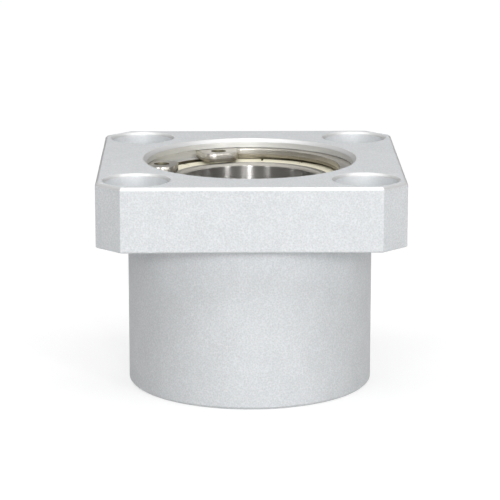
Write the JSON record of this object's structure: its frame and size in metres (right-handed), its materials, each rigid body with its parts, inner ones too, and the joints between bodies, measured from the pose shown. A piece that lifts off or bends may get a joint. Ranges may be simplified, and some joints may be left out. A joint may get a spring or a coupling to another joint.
{
  "type": "square flange bearing unit",
  "caption": "Square-flanged bearing unit: a cylindrical pilot housing with a shielded ball bearing at each end, kept by internal circlips, and counterbored screw holes in the corners.",
  "frame": {"origin": "centre of the flange's mounting face, on the shaft axis", "axes": "+Z along the shaft axis from the pilot towards the flange's outer face; X and Y along the flange's sides"},
  "size_m": [0.061, 0.061, 0.0463],
  "materials": {
    "housing_aluminium": "bead-blasted, clear anodised",
    "circlip_steel": "bright spring steel, lightly oiled",
    "ring_steel": "ground and polished bearing steel",
    "shield_steel": "pressed sheet with a pale straw passivation",
    "cage_steel": "pressed steel ribbon",
    "ball_steel": "lapped bearing steel"
  },
  "bodies": {
    "housing": {"housing": "housing_aluminium", "upper_circlip": "circlip_steel", "upper_outer_ring": "ring_steel", "upper_outer_shield": "shield_steel", "upper_inner_shield": "shield_steel", "lower_circlip": "circlip_steel", "lower_outer_ring": "ring_steel", "lower_outer_shield": "shield_steel", "lower_inner_shield": "shield_steel"},
    "upper_inner_ring": {"upper_inner_ring": "ring_steel"},
    "upper_cage": {"upper_cage_outer_half": "cage_steel", "upper_cage_inner_half": "cage_steel", "upper_cage_rivets": "cage_steel"},
    "upper_ball_01": {"upper_ball_01": "ball_steel"},
    "upper_ball_02": {"upper_ball_02": "ball_steel"},
    "upper_ball_03": {"upper_ball_03": "ball_steel"},
    "upper_ball_04": {"upper_ball_04": "ball_steel"},
    "upper_ball_05": {"upper_ball_05": "ball_steel"},
    "upper_ball_06": {"upper_ball_06": "ball_steel"},
    "upper_ball_07": {"upper_ball_07": "ball_steel"},
    "upper_ball_08": {"upper_ball_08": "ball_steel"},
    "upper_ball_09": {"upper_ball_09": "ball_steel"},
    "upper_ball_10": {"upper_ball_10": "ball_steel"},
    "upper_ball_11": {"upper_ball_11": "ball_steel"},
    "upper_ball_12": {"upper_ball_12": "ball_steel"},
    "upper_ball_13": {"upper_ball_13": "ball_steel"},
    "upper_ball_14": {"upper_ball_14": "ball_steel"},
    "upper_ball_15": {"upper_ball_15": "ball_steel"},
    "upper_ball_16": {"upper_ball_16": "ball_steel"},
    "upper_ball_17": {"upper_ball_17": "ball_steel"},
    "upper_ball_18": {"upper_ball_18": "ball_steel"},
    "lower_inner_ring": {"lower_inner_ring": "ring_steel"},
    "lower_cage": {"lower_cage_outer_half": "cage_steel", "lower_cage_inner_half": "cage_steel", "lower_cage_rivets": "cage_steel"},
    "lower_ball_01": {"lower_ball_01": "ball_steel"},
    "lower_ball_02": {"lower_ball_02": "ball_steel"},
    "lower_ball_03": {"lower_ball_03": "ball_steel"},
    "lower_ball_04": {"lower_ball_04": "ball_steel"},
    "lower_ball_05": {"lower_ball_05": "ball_steel"},
    "lower_ball_06": {"lower_ball_06": "ball_steel"},
    "lower_ball_07": {"lower_ball_07": "ball_steel"},
    "lower_ball_08": {"lower_ball_08": "ball_steel"},
    "lower_ball_09": {"lower_ball_09": "ball_steel"},
    "lower_ball_10": {"lower_ball_10": "ball_steel"},
    "lower_ball_11": {"lower_ball_11": "ball_steel"},
    "lower_ball_12": {"lower_ball_12": "ball_steel"},
    "lower_ball_13": {"lower_ball_13": "ball_steel"},
    "lower_ball_14": {"lower_ball_14": "ball_steel"},
    "lower_ball_15": {"lower_ball_15": "ball_steel"},
    "lower_ball_16": {"lower_ball_16": "ball_steel"},
    "lower_ball_17": {"lower_ball_17": "ball_steel"},
    "lower_ball_18": {"lower_ball_18": "ball_steel"}
  },
  "joints": [
    {"name": "upper_inner_ring_spin", "type": "hinge", "parent": "housing", "child": "upper_inner_ring", "pos_m": [0, 0, 0.00535], "axis": [0, 0, 1], "continuous": true},
    {"name": "upper_cage_orbit", "type": "hinge", "parent": "housing", "child": "upper_cage", "pos_m": [0, 0, 0.00535], "axis": [0, 0, 1], "continuous": true},
    {"name": "upper_ball_01_roll", "type": "hinge", "parent": "upper_cage", "child": "upper_ball_01", "pos_m": [0.018, 0, 0.00535], "axis": [0, 0, 1], "continuous": true},
    {"name": "upper_ball_02_roll", "type": "hinge", "parent": "upper_cage", "child": "upper_ball_02", "pos_m": [0.01691, 0.00616, 0.00535], "axis": [0, 0, 1], "continuous": true},
    {"name": "upper_ball_03_roll", "type": "hinge", "parent": "upper_cage", "child": "upper_ball_03", "pos_m": [0.01379, 0.01157, 0.00535], "axis": [0, 0, 1], "continuous": true},
    {"name": "upper_ball_04_roll", "type": "hinge", "parent": "upper_cage", "child": "upper_ball_04", "pos_m": [0.009, 0.01559, 0.00535], "axis": [0, 0, 1], "continuous": true},
    {"name": "upper_ball_05_roll", "type": "hinge", "parent": "upper_cage", "child": "upper_ball_05", "pos_m": [0.00313, 0.01773, 0.00535], "axis": [0, 0, 1], "continuous": true},
    {"name": "upper_ball_06_roll", "type": "hinge", "parent": "upper_cage", "child": "upper_ball_06", "pos_m": [-0.00313, 0.01773, 0.00535], "axis": [0, 0, 1], "continuous": true},
    {"name": "upper_ball_07_roll", "type": "hinge", "parent": "upper_cage", "child": "upper_ball_07", "pos_m": [-0.009, 0.01559, 0.00535], "axis": [0, 0, 1], "continuous": true},
    {"name": "upper_ball_08_roll", "type": "hinge", "parent": "upper_cage", "child": "upper_ball_08", "pos_m": [-0.01379, 0.01157, 0.00535], "axis": [0, 0, 1], "continuous": true},
    {"name": "upper_ball_09_roll", "type": "hinge", "parent": "upper_cage", "child": "upper_ball_09", "pos_m": [-0.01691, 0.00616, 0.00535], "axis": [0, 0, 1], "continuous": true},
    {"name": "upper_ball_10_roll", "type": "hinge", "parent": "upper_cage", "child": "upper_ball_10", "pos_m": [-0.018, 0, 0.00535], "axis": [0, 0, 1], "continuous": true},
    {"name": "upper_ball_11_roll", "type": "hinge", "parent": "upper_cage", "child": "upper_ball_11", "pos_m": [-0.01691, -0.00616, 0.00535], "axis": [0, 0, 1], "continuous": true},
    {"name": "upper_ball_12_roll", "type": "hinge", "parent": "upper_cage", "child": "upper_ball_12", "pos_m": [-0.01379, -0.01157, 0.00535], "axis": [0, 0, 1], "continuous": true},
    {"name": "upper_ball_13_roll", "type": "hinge", "parent": "upper_cage", "child": "upper_ball_13", "pos_m": [-0.009, -0.01559, 0.00535], "axis": [0, 0, 1], "continuous": true},
    {"name": "upper_ball_14_roll", "type": "hinge", "parent": "upper_cage", "child": "upper_ball_14", "pos_m": [-0.00313, -0.01773, 0.00535], "axis": [0, 0, 1], "continuous": true},
    {"name": "upper_ball_15_roll", "type": "hinge", "parent": "upper_cage", "child": "upper_ball_15", "pos_m": [0.00313, -0.01773, 0.00535], "axis": [0, 0, 1], "continuous": true},
    {"name": "upper_ball_16_roll", "type": "hinge", "parent": "upper_cage", "child": "upper_ball_16", "pos_m": [0.009, -0.01559, 0.00535], "axis": [0, 0, 1], "continuous": true},
    {"name": "upper_ball_17_roll", "type": "hinge", "parent": "upper_cage", "child": "upper_ball_17", "pos_m": [0.01379, -0.01157, 0.00535], "axis": [0, 0, 1], "continuous": true},
    {"name": "upper_ball_18_roll", "type": "hinge", "parent": "upper_cage", "child": "upper_ball_18", "pos_m": [0.01691, -0.00616, 0.00535], "axis": [0, 0, 1], "continuous": true},
    {"name": "lower_inner_ring_spin", "type": "hinge", "parent": "housing", "child": "lower_inner_ring", "pos_m": [0, 0, -0.02565], "axis": [0, 0, 1], "continuous": true},
    {"name": "lower_cage_orbit", "type": "hinge", "parent": "housing", "child": "lower_cage", "pos_m": [0, 0, -0.02565], "axis": [0, 0, 1], "continuous": true},
    {"name": "lower_ball_01_roll", "type": "hinge", "parent": "lower_cage", "child": "lower_ball_01", "pos_m": [0.018, 0, -0.02565], "axis": [0, 0, 1], "continuous": true},
    {"name": "lower_ball_02_roll", "type": "hinge", "parent": "lower_cage", "child": "lower_ball_02", "pos_m": [0.01691, -0.00616, -0.02565], "axis": [0, 0, 1], "continuous": true},
    {"name": "lower_ball_03_roll", "type": "hinge", "parent": "lower_cage", "child": "lower_ball_03", "pos_m": [0.01379, -0.01157, -0.02565], "axis": [0, 0, 1], "continuous": true},
    {"name": "lower_ball_04_roll", "type": "hinge", "parent": "lower_cage", "child": "lower_ball_04", "pos_m": [0.009, -0.01559, -0.02565], "axis": [0, 0, 1], "continuous": true},
    {"name": "lower_ball_05_roll", "type": "hinge", "parent": "lower_cage", "child": "lower_ball_05", "pos_m": [0.00313, -0.01773, -0.02565], "axis": [0, 0, 1], "continuous": true},
    {"name": "lower_ball_06_roll", "type": "hinge", "parent": "lower_cage", "child": "lower_ball_06", "pos_m": [-0.00313, -0.01773, -0.02565], "axis": [0, 0, 1], "continuous": true},
    {"name": "lower_ball_07_roll", "type": "hinge", "parent": "lower_cage", "child": "lower_ball_07", "pos_m": [-0.009, -0.01559, -0.02565], "axis": [0, 0, 1], "continuous": true},
    {"name": "lower_ball_08_roll", "type": "hinge", "parent": "lower_cage", "child": "lower_ball_08", "pos_m": [-0.01379, -0.01157, -0.02565], "axis": [0, 0, 1], "continuous": true},
    {"name": "lower_ball_09_roll", "type": "hinge", "parent": "lower_cage", "child": "lower_ball_09", "pos_m": [-0.01691, -0.00616, -0.02565], "axis": [0, 0, 1], "continuous": true},
    {"name": "lower_ball_10_roll", "type": "hinge", "parent": "lower_cage", "child": "lower_ball_10", "pos_m": [-0.018, 0, -0.02565], "axis": [0, 0, 1], "continuous": true},
    {"name": "lower_ball_11_roll", "type": "hinge", "parent": "lower_cage", "child": "lower_ball_11", "pos_m": [-0.01691, 0.00616, -0.02565], "axis": [0, 0, 1], "continuous": true},
    {"name": "lower_ball_12_roll", "type": "hinge", "parent": "lower_cage", "child": "lower_ball_12", "pos_m": [-0.01379, 0.01157, -0.02565], "axis": [0, 0, 1], "continuous": true},
    {"name": "lower_ball_13_roll", "type": "hinge", "parent": "lower_cage", "child": "lower_ball_13", "pos_m": [-0.009, 0.01559, -0.02565], "axis": [0, 0, 1], "continuous": true},
    {"name": "lower_ball_14_roll", "type": "hinge", "parent": "lower_cage", "child": "lower_ball_14", "pos_m": [-0.00313, 0.01773, -0.02565], "axis": [0, 0, 1], "continuous": true},
    {"name": "lower_ball_15_roll", "type": "hinge", "parent": "lower_cage", "child": "lower_ball_15", "pos_m": [0.00313, 0.01773, -0.02565], "axis": [0, 0, 1], "continuous": true},
    {"name": "lower_ball_16_roll", "type": "hinge", "parent": "lower_cage", "child": "lower_ball_16", "pos_m": [0.009, 0.01559, -0.02565], "axis": [0, 0, 1], "continuous": true},
    {"name": "lower_ball_17_roll", "type": "hinge", "parent": "lower_cage", "child": "lower_ball_17", "pos_m": [0.01379, 0.01157, -0.02565], "axis": [0, 0, 1], "continuous": true},
    {"name": "lower_ball_18_roll", "type": "hinge", "parent": "lower_cage", "child": "lower_ball_18", "pos_m": [0.01691, 0.00616, -0.02565], "axis": [0, 0, 1], "continuous": true}
  ],
  "couplings": [
    {"joint": "upper_cage_orbit", "follows": "upper_inner_ring_spin", "ratio": 0.45139},
    {"joint": "upper_ball_01_roll", "follows": "upper_inner_ring_spin", "ratio": -5.0942},
    {"joint": "upper_ball_02_roll", "follows": "upper_inner_ring_spin", "ratio": -5.0942},
    {"joint": "upper_ball_03_roll", "follows": "upper_inner_ring_spin", "ratio": -5.0942},
    {"joint": "upper_ball_04_roll", "follows": "upper_inner_ring_spin", "ratio": -5.0942},
    {"joint": "upper_ball_05_roll", "follows": "upper_inner_ring_spin", "ratio": -5.0942},
    {"joint": "upper_ball_06_roll", "follows": "upper_inner_ring_spin", "ratio": -5.0942},
    {"joint": "upper_ball_07_roll", "follows": "upper_inner_ring_spin", "ratio": -5.0942},
    {"joint": "upper_ball_08_roll", "follows": "upper_inner_ring_spin", "ratio": -5.0942},
    {"joint": "upper_ball_09_roll", "follows": "upper_inner_ring_spin", "ratio": -5.0942},
    {"joint": "upper_ball_10_roll", "follows": "upper_inner_ring_spin", "ratio": -5.0942},
    {"joint": "upper_ball_11_roll", "follows": "upper_inner_ring_spin", "ratio": -5.0942},
    {"joint": "upper_ball_12_roll", "follows": "upper_inner_ring_spin", "ratio": -5.0942},
    {"joint": "upper_ball_13_roll", "follows": "upper_inner_ring_spin", "ratio": -5.0942},
    {"joint": "upper_ball_14_roll", "follows": "upper_inner_ring_spin", "ratio": -5.0942},
    {"joint": "upper_ball_15_roll", "follows": "upper_inner_ring_spin", "ratio": -5.0942},
    {"joint": "upper_ball_16_roll", "follows": "upper_inner_ring_spin", "ratio": -5.0942},
    {"joint": "upper_ball_17_roll", "follows": "upper_inner_ring_spin", "ratio": -5.0942},
    {"joint": "upper_ball_18_roll", "follows": "upper_inner_ring_spin", "ratio": -5.0942},
    {"joint": "lower_cage_orbit", "follows": "lower_inner_ring_spin", "ratio": 0.45139},
    {"joint": "lower_ball_01_roll", "follows": "lower_inner_ring_spin", "ratio": -5.0942},
    {"joint": "lower_ball_02_roll", "follows": "lower_inner_ring_spin", "ratio": -5.0942},
    {"joint": "lower_ball_03_roll", "follows": "lower_inner_ring_spin", "ratio": -5.0942},
    {"joint": "lower_ball_04_roll", "follows": "lower_inner_ring_spin", "ratio": -5.0942},
    {"joint": "lower_ball_05_roll", "follows": "lower_inner_ring_spin", "ratio": -5.0942},
    {"joint": "lower_ball_06_roll", "follows": "lower_inner_ring_spin", "ratio": -5.0942},
    {"joint": "lower_ball_07_roll", "follows": "lower_inner_ring_spin", "ratio": -5.0942},
    {"joint": "lower_ball_08_roll", "follows": "lower_inner_ring_spin", "ratio": -5.0942},
    {"joint": "lower_ball_09_roll", "follows": "lower_inner_ring_spin", "ratio": -5.0942},
    {"joint": "lower_ball_10_roll", "follows": "lower_inner_ring_spin", "ratio": -5.0942},
    {"joint": "lower_ball_11_roll", "follows": "lower_inner_ring_spin", "ratio": -5.0942},
    {"joint": "lower_ball_12_roll", "follows": "lower_inner_ring_spin", "ratio": -5.0942},
    {"joint": "lower_ball_13_roll", "follows": "lower_inner_ring_spin", "ratio": -5.0942},
    {"joint": "lower_ball_14_roll", "follows": "lower_inner_ring_spin", "ratio": -5.0942},
    {"joint": "lower_ball_15_roll", "follows": "lower_inner_ring_spin", "ratio": -5.0942},
    {"joint": "lower_ball_16_roll", "follows": "lower_inner_ring_spin", "ratio": -5.0942},
    {"joint": "lower_ball_17_roll", "follows": "lower_inner_ring_spin", "ratio": -5.0942},
    {"joint": "lower_ball_18_roll", "follows": "lower_inner_ring_spin", "ratio": -5.0942}
  ]
}
